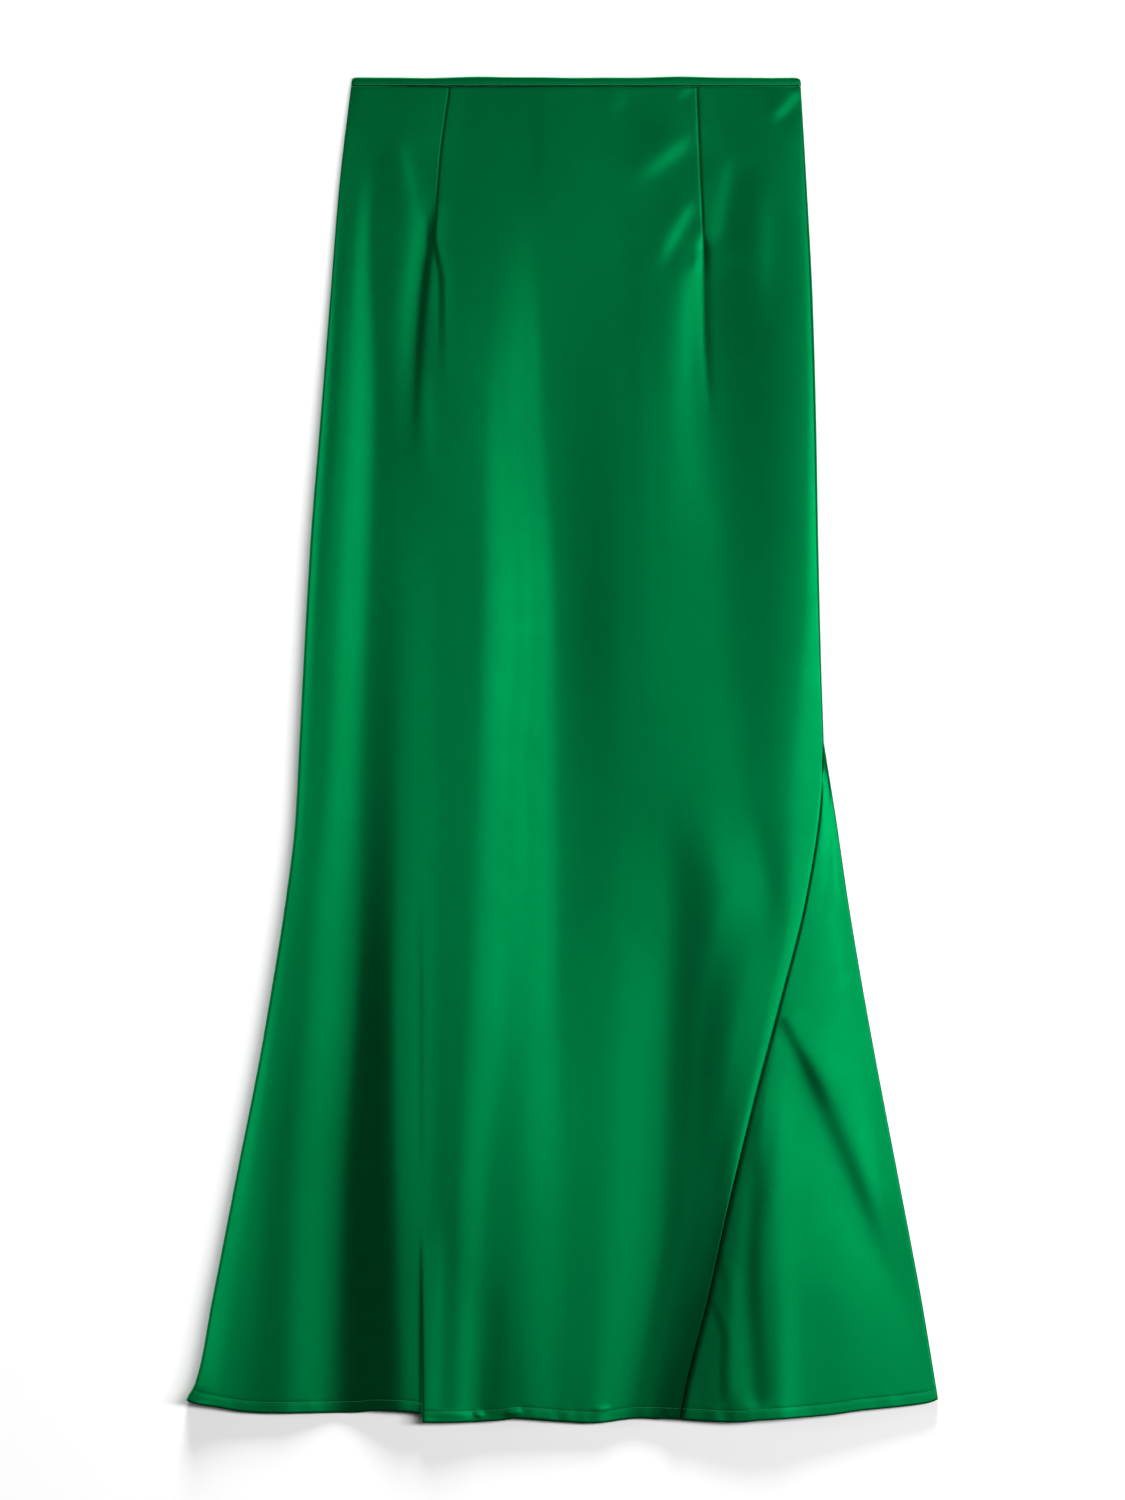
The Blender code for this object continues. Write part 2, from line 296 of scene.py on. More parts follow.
def roundedDrop(distance, radius, depth):  # how far cloth has dropped that rolls over an edge
    inside = np.clip(1.0 - distance / radius, 0.0, 1.0)
    return depth * (1.0 - np.sqrt(1.0 - bend["fullness"] * inside * inside))


def smoothPath(path):  # many points on a smooth curve through a few
    points = np.array(path, float)
    steps = np.arange(len(points))
    fine = np.linspace(0, len(points) - 1, bend["pathSteps"] * (len(points) - 1) + 1)
    return np.stack([smoothAt(steps, points[:, i], fine) for i in (0, 1)], axis=1)


def alongPath(across, down, path, ends):
    # for each point: its distance from the path, on which side it lies, and the path's strength there
    line = smoothPath(path)
    runs = np.hypot(*np.diff(line, axis=0).T)
    reached = np.concatenate([[0.0], np.cumsum(runs)])
    best = np.full(across.shape, np.inf)
    side = np.zeros(across.shape)
    share = np.zeros(across.shape)
    for i in range(len(runs)):
        along = (line[i + 1] - line[i]) / runs[i]
        offAcross, offDown = across - line[i, 0], down - line[i, 1]
        go = np.clip(offAcross * along[0] + offDown * along[1], 0.0, runs[i])
        far = np.hypot(offAcross - go * along[0], offDown - go * along[1])
        closer = far < best
        best = np.where(closer, far, best)
        side = np.where(closer, offAcross * along[1] - offDown * along[0], side)
        share = np.where(closer, (reached[i] + go) / reached[-1], share)
    taper = np.clip(share / ends[0], 0, 1) if ends[0] > 0 else np.ones_like(share)
    taper = taper * (np.clip((1 - share) / ends[1], 0, 1) if ends[1] > 0 else 1.0)
    return best, side, taper * taper * (3 - 2 * taper)


def creaseLift(across, down, creases):
    total = np.zeros(across.shape)
    for crease in creases:
        path = np.array(crease["path"], float)
        reach = bend["reach"] * np.max(crease["width"])
        near = (across > path[:, 0].min() - reach) & (across < path[:, 0].max() + reach)
        near &= (down > path[:, 1].min() - reach) & (down < path[:, 1].max() + reach)
        if not near.any():
            continue
        best, side, taper = alongPath(across[near], down[near], crease["path"], crease["ends"])
        if "step" in crease:
            width = crease["width"]
            rise = np.tanh(best * np.sign(side) / width) * crease["step"]
            rise = rise * np.exp(-((best / (bend["stepFade"] * width)) ** 2)) / 2
            total[near] += crease["height"] * taper * rise
        else:
            width = np.where(side > 0, crease["width"][1], crease["width"][0])
            total[near] += crease["height"] * taper * np.exp(-((best / width) ** 2))
    return total


def hemRow(across, down, height, above, ends):
    # points on a piece along its turned hem, between two places across
    at = down[-1] - skirt["hemDepth"]
    lift = [np.interp(at[i], down[:, i], height[:, i]) for i in range(len(at))]
    points = zip(across[-1], at, np.array(lift) + above)
    return [point for point in points if ends[0] < point[0] < ends[1]]


def rowDowns(top, hemDown, parts):
    # each row's shares of the way from the top to the hem, closer together where there is more to show
    shares = []
    for start, end, count in parts:
        shares += list(np.linspace(start, end, count, endpoint=False))
    shares = np.array(shares + [1.0])
    return top + shares[:, None] * (hemDown[None, :] - top)


def gridNormals(points):
    along = np.gradient(points, axis=1)
    down = np.gradient(points, axis=0)
    normals = np.cross(down, along)
    return normals / np.linalg.norm(normals, axis=2, keepdims=True)


def clothObject(name, vertices, faces, flat, finish):  # flat says where each vertex lies on the cut cloth
    mesh = bpy.data.meshes.new(name)
    mesh.from_pydata(vertices, [], faces)
    corners = np.empty(len(mesh.loops), np.int32)
    mesh.loops.foreach_get("vertex_index", corners)
    layer = mesh.uv_layers.new(name="cloth")
    layer.data.foreach_set("uv", flat[corners].astype(np.float32).ravel())
    mesh.shade_smooth()
    mesh.materials.append(finish)
    return place(name, mesh)


def shell(name, across, down, height, cloth, thickness, finish, outwards=1):
    # a closed shell under (or over, for outwards -1) a grid of outer points; cloth is its place on the cut
    rows, columns = across.shape
    outer = np.stack([across, skirt["length"] / 2 - down, height], axis=2)
    inner = outer - gridNormals(outer) * outwards * thickness[..., None]
    vertices = np.concatenate([outer.reshape(-1, 3), inner.reshape(-1, 3)]) * mm
    index = np.arange(rows * columns).reshape(rows, columns)
    quads = np.stack([index[:-1, :-1], index[1:, :-1], index[1:, 1:], index[:-1, 1:]], axis=2).reshape(-1, 4)
    under = rows * columns
    rim = np.concatenate([index[0, :-1], index[:-1, -1], index[-1, :0:-1], index[:0:-1, 0]])
    after = np.roll(rim, -1)
    sides = np.stack([rim, after, under + after, under + rim], axis=1)
    faces = np.concatenate([quads, quads[:, ::-1] + under, sides])
    if outwards < 0:
        faces = faces[:, ::-1]
    flat = np.stack([cloth[0], -cloth[1]], axis=2).reshape(-1, 2) * mm
    made = clothObject(name, vertices.tolist(), faces.tolist(), np.concatenate([flat, flat]), finish)
    made.data.set_sharp_from_angle(angle=math.radians(skirt["sharpAngle"]))
    return made


def makeCloth(name, across, down, lift, finish):  # a piece of the front, over the back
    height = skirt["wall"] * 2 + skirt["seamGap"] + lift
    thickness = skirt["cloth"] + skirt["hemThicker"] * hemShare(down, down[-1:])
    return shell(name, across, down, height, (across, down), thickness, finish), across, down, height


# ---- front panel

sideRoll = {
    # The rounded side folds: their lifts, and how wide the turn is for each millimetre of lift.
    "leftLift": (1.0, 2.4, 3.7, 6.8, 9.1, 9.3, 9.4, 9.5, 9.5, 11.8),
    "rightDown": (6.8, 60, 117, 233, 377, 440, 500),
    "rightLift": (0.9, 2.9, 4.6, 6.2, 6.3, 5.3, 4.2),
    "rightReach": (0.4, 0.6, 0.5, 0.35, 0.25, 0.2, 0.2),
    "rightRim": (0.0, 0.5, 0.8, 0.8, 0.4, 0.2, 0.0),
    "rimReach": 5.0,
    "insertReach": 0.25,
    "tuck": 0.9,  # how far the edge goes down beside the back's edge
    "leftReach": 0.17,
    "least": 0.6,
}
front = {
    "stations": (6.8, 60, 117, 233, 377, 521, 593, 665, 809, 966),
    "folds": {
        # where each bend of the front lies across, then its lift, at each station down
        "rollTop": ((-149, -155, -160, -167, -177, -185, -192, -203, -226, -250),
                    (1.0, 2.25, 3.4, 6.1, 8.3, 8.65, 8.8, 8.6, 6.9, 7.0)),
        "rollEnd": ((-146, -151, -156, -161, -171, -179, -187, -193, -211, -222),
                    (1.0, 2.08, 3.3, 6.0, 8.1, 8.35, 8.5, 8.0, 5.5, 4.4)),
        "leftFall": ((-141, -145, -150, -155, -163, -171, -179, -184, -196, -200),
                     (0.9, 1.85, 3.1, 5.6, 7.7, 8.0, 8.1, 7.6, 5.0, 3.7)),
        "leftValley": ((-131, -134, -137, -133, -137, -143, -146, -149, -159, -163),
                       (0.65, 1.5, 1.9, 3.1, 5.2, 5.7, 5.6, 4.7, 2.1, 0.1)),
        "mainRise": ((-117, -117, -117, -119, -115, -117, -118, -120, -118, -112),
                     (0.4, 1.25, 1.95, 3.3, 5.5, 6.8, 7.9, 9.1, 10.1, 9.4)),
        "mainShelf": ((-88, -88, -88, -88, -88, -88, -88, -87, -89, -91),
                      (0.05, 0.8, 1.75, 3.65, 5.2, 6.2, 7.3, 8.5, 9.3, 8.6)),
        "shelfEnd": ((-45, -45, -45, -56, -59, -63, -66, -70, -76, -79),
                     (0.0, 0.6, 1.6, 3.15, 5.2, 6.0, 7.2, 8.5, 9.3, 8.2)),
        "middleFall": ((-34, -34, -34, -41, -30, -36, -35, -37, -53, -57),
                       (0.05, 0.6, 1.45, 2.2, 2.5, 3.9, 5.0, 6.2, 7.8, 6.6)),
        "middleRest": ((-23, -23, -23, -27, -19, -23, -23, -24, -30, -30),
                       (0.1, 0.65, 1.25, 1.1, 1.3, 2.7, 4.0, 5.3, 7.1, 6.7)),
        "centreValley": ((-12, -12, -16, -12, -4, -1, 0, 0, 3, -1),
                         (0.2, 0.85, 1.2, 0.3, 0.25, 1.3, 2.55, 3.75, 5.1, 5.6)),
        "slowRise": ((42, 42, 42, 45, 45, 45, 40, 36, 31, 20),
                     (0.3, 1.1, 1.6, 2.1, 2.6, 2.6, 3.2, 3.5, 4.3, 5.2)),
        "innerCrest": ((63, 63, 60, 60, 63, 72, 75, 74, 71, 48),
                       (0.3, 1.3, 1.9, 2.6, 3.2, 3.4, 3.3, 2.4, 2.3, 3.3)),
        "secondValley": ((78, 74, 74, 76, 88, 106, 116, 101, 90, 61),
                         (0.4, 1.4, 2.0, 2.8, 3.6, 4.45, 6.0, 4.6, 3.6, 3.9)),
        "sideFall": ((107, 107, 103, 101, 112, 130, 146, 130, 106, 71),
                     (0.6, 1.6, 1.9, 2.2, 4.0, 4.85, 5.5, 6.7, 5.15, 5.4)),
        "rightRoll": ((157, 160, 169, 177, 175, 163, 163, 149, 117, 78),
                      (1.0, 3.2, 4.9, 6.6, 7.2, 6.0, 6.05, 6.5, 6.5, 7.4)),
    },
    "lines": {
        # lines that columns of the mesh keep to; below its dart the left one runs on to the hem pleat
        "leftDart": (-81, -88, -92, -96, -100, -102, -101.5, -101.5, -101, -100.5),
        "rightDart": (97, 99, 101.5, 103, 103, 100, 97, 92, 78, 52),
    },
    # the line that a run of columns starts from, how far beside it, and its number of columns
    "columns": (
        ("leftEdge", 0.0, 7), ("leftEdge", 2.4, 4), ("leftEdge", 9.0, 36),
        ("leftDart", -6.0, 4), ("leftDart", -2.0, 8), ("leftDart", 2.0, 4), ("leftDart", 6.0, 88),
        ("rightDart", -3.0, 4), ("rightDart", 0.0, 4), ("rightDart", 3.0, 32), ("rightEdge", -3.0, 8),
    ),
    "rows": ((0.0, 0.004, 4), (0.004, 0.27, 90), (0.27, 0.985, 112), (0.985, 1.0, 18)),
    "creases": (
        # A ridge has a width on each side of its path, a trough is a ridge with a height below 0,
        # and a step rises to one side.
        # the crescent beside the left dart, and the fork that runs down from the dart's point
        {"path": ((-118, 42), (-113, 58), (-107.5, 80), (-105, 100), (-104.5, 122)),
         "width": 4.6, "height": 0.95, "step": -1, "ends": (0.3, 0.6)},
        {"path": ((-100, 88), (-98, 108), (-98, 122), (-100.4, 141), (-103.6, 172), (-106.5, 215),
                  (-109.5, 285)),
         "width": (10, 3.8), "height": -1.25, "ends": (0.2, 0.7)},
        {"path": ((-89.5, 76), (-92.3, 112), (-90, 128), (-87, 146), (-86.5, 183), (-87, 235)),
         "width": 1.3, "height": 0.6, "step": 1, "ends": (0.2, 0.6)},
        # the pulls that run up and right to the right dart
        {"path": ((31, 27), (52.6, 11.5)), "width": 4.0, "height": 0.3, "step": 1, "ends": (0.4, 0.4)},
        {"path": ((81, 16), (95, 8.5)), "width": 2.0, "height": 0.4, "step": 1, "ends": (0.4, 0.2)},
        {"path": ((45, 84), (64, 68), (82, 54), (98, 39)),
         "width": 5.2, "height": 1.25, "step": 1, "ends": (0.6, 0.3)},
        {"path": ((64, 148), (70, 137.5), (81.4, 114.5), (97.2, 87)),
         "width": 3.6, "height": 0.95, "step": 1, "ends": (0.55, 0.2)},
        {"path": ((-98, 195), (-95, 245), (-92, 300)),
         "width": 5.0, "height": 0.4, "step": -1, "ends": (0.4, 0.5)},
        {"path": ((89.3, 142.6), (95, 130.3), (100, 121.7)),
         "width": 1.1, "height": 0.3, "step": -1, "ends": (0.4, 0.3)},
        # below the right dart's point
        {"path": ((96, 121), (92.5, 160), (90, 195), (89, 225), (88, 262)),
         "width": 6.6, "height": 1.55, "step": -1, "ends": (0.2, 0.75)},
        {"path": ((100.8, 118), (101.8, 153), (102.5, 190), (105, 225), (108, 262)),
         "width": (3.5, 3.2), "height": -0.5, "ends": (0.05, 0.6)},
        {"path": ((101.4, 110), (103, 150)), "width": (3.0, 2.6), "height": -0.6, "ends": (0.3, 0.6)},
        {"path": ((121.7, 50), (115.2, 88.6), (108, 126)),
         "width": 5.0, "height": 0.75, "step": -1, "ends": (0.3, 0.2)},
        # a soft band towards the right side, the top right corner and a thin streak above the pleat
        {"path": ((148, 62), (147, 117), (148, 185)),
         "width": 7.0, "height": 0.8, "step": -1, "ends": (0.4, 0.5)},
        {"path": ((149, 35), (160, 24), (171, 11)),
         "width": 2.8, "height": 0.85, "step": 1, "ends": (0.4, 0.1)},
        {"path": ((-101.5, 560), (-101, 700), (-101, 800)),
         "width": 1.5, "height": 0.12, "step": 1, "ends": (0.4, 0.2)},
        {"path": ((86, 530), (88, 536)), "width": (2.5, 2.5), "height": 0.25, "ends": (0.3, 0.3)},
        # beside the pleat, the middle folds' last stretch, and small bubbles on the turned hem
        {"path": ((-66.5, 850), (-68, 900), (-70, 966)),
         "width": 5.5, "height": 0.4, "step": -1, "ends": (0.5, 0.05)},
        {"path": ((-44, 850), (-45, 900), (-50, 966)),
         "width": 6.0, "height": 0.4, "step": 1, "ends": (0.5, 0.05)},
        {"path": ((-88, 800), (-88.5, 870), (-91, 965)),
         "width": 5.0, "height": 0.5, "step": -1, "ends": (0.4, 0.05)},
        {"path": ((-64, 962), (-56, 963)), "width": (2.0, 2.6), "height": 0.45, "ends": (0.3, 0.3)},
        {"path": ((-42, 962), (-28, 960)), "width": (2.0, 2.6), "height": 0.4, "ends": (0.3, 0.3)},
        {"path": ((22, 960), (36, 958)), "width": (2.2, 2.4), "height": 0.3, "ends": (0.4, 0.4)},
        {"path": ((75, 957), (78, 965)), "width": (1.6, 1.8), "height": 0.3, "ends": (0.3, 0.2)},
    ),
    "darts": (
        {"line": "leftDart", "end": 116.0, "depth": 0.3, "step": 0.4},
        {"line": "rightDart", "end": 121.0, "depth": 0.45, "step": 0.2},
    ),
    "dartFade": 20.0,  # how far above its point a dart starts to fade
    "dartWidths": {"groove": 0.7, "step": 0.6, "spread": 9.0},
    "hem": {
        "across": (-271, -262, -245, -227, -206, -150, -133, -112,
                   -101.4, -100.2, -84, -45, -33, 3, 22, 57, 83),
        "down": (952, 955, 958, 961, 962, 961.5, 960, 960.5,
                 962.5, 968.2, 968.5, 967, 965.5, 968, 969, 965.5, 966),
    },
    # At the pleat the right part lies over the left: a small steep step, more and more towards the hem.
    "pleat": {
        "down": (830, 865, 905, 969),
        "across": (-101.3, -101.2, -101, -100.7),
        "height": (0.0, 0.4, 0.95, 1.5),
        "width": 1.0,
        "fade": 16.0,
    },
    # how the front's edge rounds down along the insert's seam
    "seamRim": {
        "down": (479, 505, 560, 740, 800, 969),
        "reach": (1.0, 2.0, 3.8, 3.8, 1.6, 1.0),
        "drop": (0.0, 0.35, 0.35, 0.48, 0.18, 0.05),
    },
}


def foldStack(folds, stations, down, first, last):
    marks = [first[0]] + [smoothAt(stations, fold[0], down) for fold in folds.values()] + [last[0]]
    lifts = [first[1]] + [smoothAt(stations, fold[1], down) for fold in folds.values()] + [last[1]]
    return np.stack(marks), np.stack(lifts)


def frontEdges(down):
    above = down < insertSeam["down"][0]
    across = np.where(above, fromTable(rightEdge, "across", down), fromTable(insertSeam, "across", down))
    loose = smoothAt(sideRoll["rightDown"], sideRoll["rightLift"], down)
    lift = np.where(down < sideRoll["rightDown"][-1], loose, fromTable(insertSeam, "lift", down))
    left = (fromTable(leftEdge, "across", down), smoothAt(front["stations"], sideRoll["leftLift"], down))
    return left, (across, lift)


def seamClimb(down):  # 0 where the front's side fold is whole, 1 where the seam is on top of it
    start, end = insertSeam["climb"]
    share = np.clip((down - start) / (end - start), 0, 1)
    return share * share * (3 - 2 * share)


def insertEdges(down):
    lift = fromTable(insertSeam, "lift", down) - fromTable(insertSeam, "sink", down)
    seam = (fromTable(insertSeam, "across", down) + skirt["seamGap"], lift)
    side = (fromTable(insertEdge, "across", down), smoothAt(insert["stations"], insert["edgeLift"], down))
    return seam, side


def columnGrid(lines, columns):
    # lines maps a name to positions, one for each column, and a run may start a little beside its line
    stops = [lines[name] + offset for name, offset, _ in columns] + [lines["rightEdge"]]
    across = np.empty(stops[0].shape)
    column = 0
    for i, (_, _, count) in enumerate(columns):
        for step in range(count + (i == len(columns) - 1)):
            share = step / count
            across[:, column] = stops[i][:, column] * (1 - share) + stops[i + 1][:, column] * share
            column += 1
    return across


def columnCount(columns):
    return sum(count for _, _, count in columns) + 1


def hemOf(table, across):
    return smoothAt(table["across"], table["down"], across)


def frontColumns(down):
    (left, _), (right, _) = frontEdges(down)
    lines = {name: smoothAt(front["stations"], places, down) for name, places in front["lines"].items()}
    return columnGrid({"leftEdge": left, "rightEdge": right, **lines}, front["columns"])


def rollShare(distance, lift, reach):  # 0 at a side fold's edge, 1 where its turn ends
    reach = reach * lift + sideRoll["least"]
    inside = np.clip(1 - distance / reach, 0, 1)
    return np.cbrt(1 - inside ** 3)


def frontLift(across, down):
    edges = frontEdges(down)
    marks, lifts = foldStack(front["folds"], front["stations"], down, *edges)
    lift = liftAcross(marks, lifts, across)
    rolled = rollShare(across - edges[0][0], edges[0][1], sideRoll["leftReach"])
    lift = lift * rolled - sideRoll["tuck"] * (1 - rolled)
    fromRight = edges[1][0] - across
    climb = seamClimb(down)
    nearRim = np.clip(1 - fromRight / sideRoll["rimReach"], 0, 1)
    rim = smoothAt(sideRoll["rightDown"], sideRoll["rightRim"], down) * nearRim ** 2
    reach = smoothAt(sideRoll["rightDown"], sideRoll["rightReach"], down)
    rolled = rollShare(fromRight, edges[1][1], reach) * (1 - climb) + climb
    lift = (lift - rim) * rolled - sideRoll["tuck"] * (1 - rolled)
    pleat = front["pleat"]
    offset = across - fromTable(pleat, "across", down)
    step = np.tanh(offset / pleat["width"]) * np.exp(-((offset / pleat["fade"]) ** 2))
    return lift + fromTable(pleat, "height", down) * step / 2


hemLook = {
    "lead": 0.6,  # the cloth starts to thicken so far above the stitching, and takes so long about it
    "leadDepth": 1.2,
    "groove": 0.08,
    "grooveWidth": 1.1,
    "pucker": 0.14,
    # the puckers' waves: length, how far each is pushed to and fro, over what length, and its share
    "waves": ((4.1, 1.3, 17.0, 1.0), (2.3, 2.1, 23.0, 0.7)),
    "strengthWaves": (31.0, 0.8, 11.0),
    "bandMiddle": 4.0,
    "bandWidth": 6.0,
    "roll": (1.3, 0.5),  # how far up its lower edge rounds, and how deep
}


def hemShare(down, hemDown):  # 0 above the turned hem, 1 on it
    start = hemDown - skirt["hemDepth"] - hemLook["lead"]
    return np.clip((down - start) / hemLook["leadDepth"], 0.0, 1.0)


def hemRelief(across, down):
    # the turned hem: a stitched groove, small puckers below it and a soft lower edge
    fromHem = down[-1:] - down
    line = (fromHem - skirt["hemDepth"]) / hemLook["grooveWidth"]
    groove = -hemLook["groove"] * np.exp(-line * line)
    waves = sum(
        share * np.sin(across / length + push * np.sin(across / pushLength))
        for length, push, pushLength, share in hemLook["waves"]
    )
    slow, start, quick = hemLook["strengthWaves"]
    strength = 0.5 + 0.5 * np.sin(across / slow + start) * np.sin(across / quick)
    band = np.exp(-((fromHem - hemLook["bandMiddle"]) / hemLook["bandWidth"]) ** 2)
    return groove + hemLook["pucker"] * waves * strength * band - roundedDrop(fromHem, *hemLook["roll"])


def dartLift(across, down):  # a stitched groove on each dart's line, and a small rise across it
    total = np.zeros(across.shape)
    widths = front["dartWidths"]
    for dart in front["darts"]:
        off = across - smoothAt(front["stations"], front["lines"][dart["line"]], down)
        fade = np.sqrt(np.clip((dart["end"] - down) / front["dartFade"], 0.0, 1.0))
        groove = dart["depth"] * np.exp(-((off / widths["groove"]) ** 2))
        rise = dart["step"] * np.tanh(off / widths["step"]) * np.exp(-((off / widths["spread"]) ** 2)) / 2
        total = total + fade * (rise - groove)
    return total


def makeFront(finish):
    lowest = np.full((1, columnCount(front["columns"])), float(front["stations"][-1]))
    down = rowDowns(skirt["bodyTop"], hemOf(front["hem"], frontColumns(lowest)[0]), front["rows"])
    across = frontColumns(down)
    right, _ = frontEdges(down)[1]
    rim = [fromTable(front["seamRim"], part, down) for part in ("reach", "drop")]
    lift = frontLift(across, down) + creaseLift(across, down, front["creases"]) + dartLift(across, down)
    lift = lift - roundedDrop(right - across, *rim)
    lift = lift - roundedDrop(down - skirt["bodyTop"], *skirt["topRoll"])
    lift = lift + hemRelief(across, down)
    return makeCloth("frontPanel", across, down, lift, finish)


# ---- flare insert

insert = {
    "stations": (491, 521, 593, 665, 737, 809, 881, 966),
    "folds": {
        "crestTop": ((188.3, 188.7, 179, 161, 147, 144, 145, 146),
                     (3.6, 4.2, 5.0, 5.8, 6.5, 8.4, 10.4, 11.2)),
        "crestFall": ((188.7, 190.0, 183.5, 166, 154, 151, 153, 155),
                      (3.2, 3.8, 4.75, 5.65, 6.4, 8.5, 10.4, 11.1)),
        "brightEnd": ((189.1, 191.2, 188, 176, 170, 171, 172, 172),
                      (2.8, 3.4, 4.4, 5.25, 5.7, 7.7, 9.2, 9.3)),
        "slopeMiddle": ((189.5, 192.4, 192, 187, 187, 196, 205, 212),
                        (2.4, 3.0, 4.1, 4.6, 5.0, 6.6, 7.5, 7.2)),
        "slopeFoot": ((189.8, 193.2, 196, 198, 206, 218, 230, 240),
                      (2.0, 2.6, 3.7, 3.7, 3.8, 5.2, 5.8, 5.7)),
        "sideRest": ((190.1, 193.9, 199.5, 207, 222, 232, 249, 262),
                     (1.6, 2.3, 3.3, 2.8, 2.7, 4.0, 4.5, 4.6)),
    },
    "edgeLift": (1.2, 1.9, 2.8, 1.9, 2.3, 3.7, 4.1, 4.0),
    "hem": {
        "across": (84, 127, 144, 161, 196, 213, 248, 265, 271),
        "down": (966, 968, 966.5, 965.5, 962.5, 960, 956.5, 954, 951.5),
    },
    "columns": (("leftEdge", 0, 6), ("leftEdge", 2.6, 72), ("rightEdge", -2.6, 6)),
    "rows": ((0.0, 0.97, 150), (0.97, 1.0, 22)),
    "top": 483.0,
    "even": (14.0, 8.0),  # below this width the columns share it out, over so many millimetres
    "creases": (
        # the long slanting crease from the seam, then those beside the seam towards the hem
        {"path": ((157, 676), (171, 702), (184, 727), (195, 752)),
         "width": 3.4, "height": 0.8, "step": 1, "ends": (0.05, 0.6)},
        {"path": ((164, 690), (184, 729), (206, 779), (225, 824), (240, 869), (247, 900)),
         "width": 7.0, "height": 1.8, "step": 1, "ends": (0.2, 0.5)},
        {"path": ((146, 745), (139, 790), (134, 861), (136, 905), (140, 962)),
         "width": (8.0, 8.0), "height": -0.7, "ends": (0.3, 0.05)},
        {"path": ((106, 874), (112, 892), (117, 909), (116, 932), (117.5, 958)),
         "width": 1.4, "height": 0.4, "step": 1, "ends": (0.2, 0.2)},
        {"path": ((112, 840), (117.5, 872)), "width": 1.6, "height": 0.3, "step": 1, "ends": (0.3, 0.4)},
        {"path": ((126, 842), (124, 890), (126, 955)),
         "width": 4.0, "height": 0.45, "step": -1, "ends": (0.3, 0.1)},
    ),
    # how the insert dips along its seam
    "rim": {
        "down": (484, 510, 740, 800, 969),
        "reach": (0.6, 1.4, 2.2, 2.8, 3.0),
        "drop": (0.0, 0.4, 0.7, 1.1, 1.3),
    },
    "rimPower": 1.2,
}


def insertColumns(down):
    (left, _), (right, _) = insertEdges(down)
    across = columnGrid({"leftEdge": left, "rightEdge": right}, insert["columns"])
    # near the insert's point the columns share out its small width
    width = right - left
    even = left + np.linspace(0, 1, across.shape[1])[None, :] * width
    below, over = insert["even"]
    narrow = np.clip((below - width) / over, 0, 1)
    return across * (1 - narrow) + even * narrow


def insertLift(across, down):
    edges = insertEdges(down)
    stations = insert["stations"]
    marks, lifts = foldStack(insert["folds"], stations, np.maximum(down, stations[0]), *edges)
    # near the point the fold lines stay between the edges, each a little beside the one before
    order = np.arange(len(marks))[:, None, None] * skirt["least"]
    marks = np.maximum.accumulate(np.clip(marks, marks[0], marks[-1]) + order, axis=0)
    rolled = rollShare(edges[1][0] - across, edges[1][1], sideRoll["insertReach"])
    return liftAcross(marks, lifts, across) * seamClimb(down) * rolled - sideRoll["tuck"] * (1 - rolled)


def makeInsert(finish):
    lowest = np.full((1, columnCount(insert["columns"])), float(insert["stations"][-1]))
    down = rowDowns(insert["top"], hemOf(insert["hem"], insertColumns(lowest)[0]), insert["rows"])
    across = insertColumns(down)
    left, _ = insertEdges(down)[0]
    lift = insertLift(across, down) + creaseLift(across, down, insert["creases"])
    inside = np.clip(1 - (across - left) / fromTable(insert["rim"], "reach", down), 0, 1)
    lift = lift - fromTable(insert["rim"], "drop", down) * inside ** insert["rimPower"]
    lift = lift + hemRelief(across, down)
    return makeCloth("flareInsert", across, down, lift, finish)


# ---- back panel

back = {
    "hem": {
        "across": (-271, -262, -227, -150, -112, -60, 0, 83, 161, 213, 271),
        "down": (950, 953, 958.5, 959, 959, 963, 964, 964, 963, 957.5, 949.5),
    },
    "creases": (
        # two darts and a few soft folds on the underside
        {"path": ((-88, 7), (-93, 60), (-97, 118)),
         "width": (0.7, 0.7), "height": 0.35, "ends": (0.0, 0.15)},
        {"path": ((96, 7), (99, 60), (101, 122)), "width": (0.7, 0.7), "height": 0.35, "ends": (0.0, 0.15)},
        {"path": ((-100, 116), (-108, 200), (-118, 330)),
         "width": (9, 14), "height": 0.5, "ends": (0.15, 0.6)},
        {"path": ((102, 120), (96, 210), (92, 300)), "width": (12, 8), "height": 0.5, "ends": (0.15, 0.6)},
        {"path": ((-70, 430), (-92, 640), (-120, 950)),
         "width": (24, 16), "height": 0.8, "ends": (0.4, 0.1)},
        {"path": ((40, 380), (22, 640), (8, 950)), "width": (18, 26), "height": 0.75, "ends": (0.5, 0.1)},
        {"path": ((128, 560), (150, 760), (176, 945)),
         "width": (16, 22), "height": 0.8, "ends": (0.4, 0.1)},
    ),
    # under folds that lie higher than this the back rises too, by this share and as softly as this
    "clearLift": 5.0,
    "follow": 0.25,
    "softness": 1.5,
    "edge": (2.2, 0.95),  # the rounding of its side edges: how far in, and how deep
    "columns": 130,
    "bunching": 0.012,  # how much closer its columns stand at the sides
    "rows": ((0.0, 0.985, 230), (0.985, 1.0, 14)),
    "clothPlace": 1000,  # where it lies on the cloth's own pattern, beside the front
}


def liftAbove(across, down):  # how high the front or the insert lies over the back
    farRight = 2 * skirt["length"]
    seam = np.where(down < insertSeam["down"][0], farRight, fromTable(insertSeam, "across", down))
    main = frontLift(np.minimum(across, np.minimum(seam, frontEdges(down)[1][0])), down)
    lower = np.maximum(down, insert["stations"][0])
    (left, _), (right, _) = insertEdges(lower)
    return np.where(across > seam, insertLift(np.clip(across, left, right), lower), main)


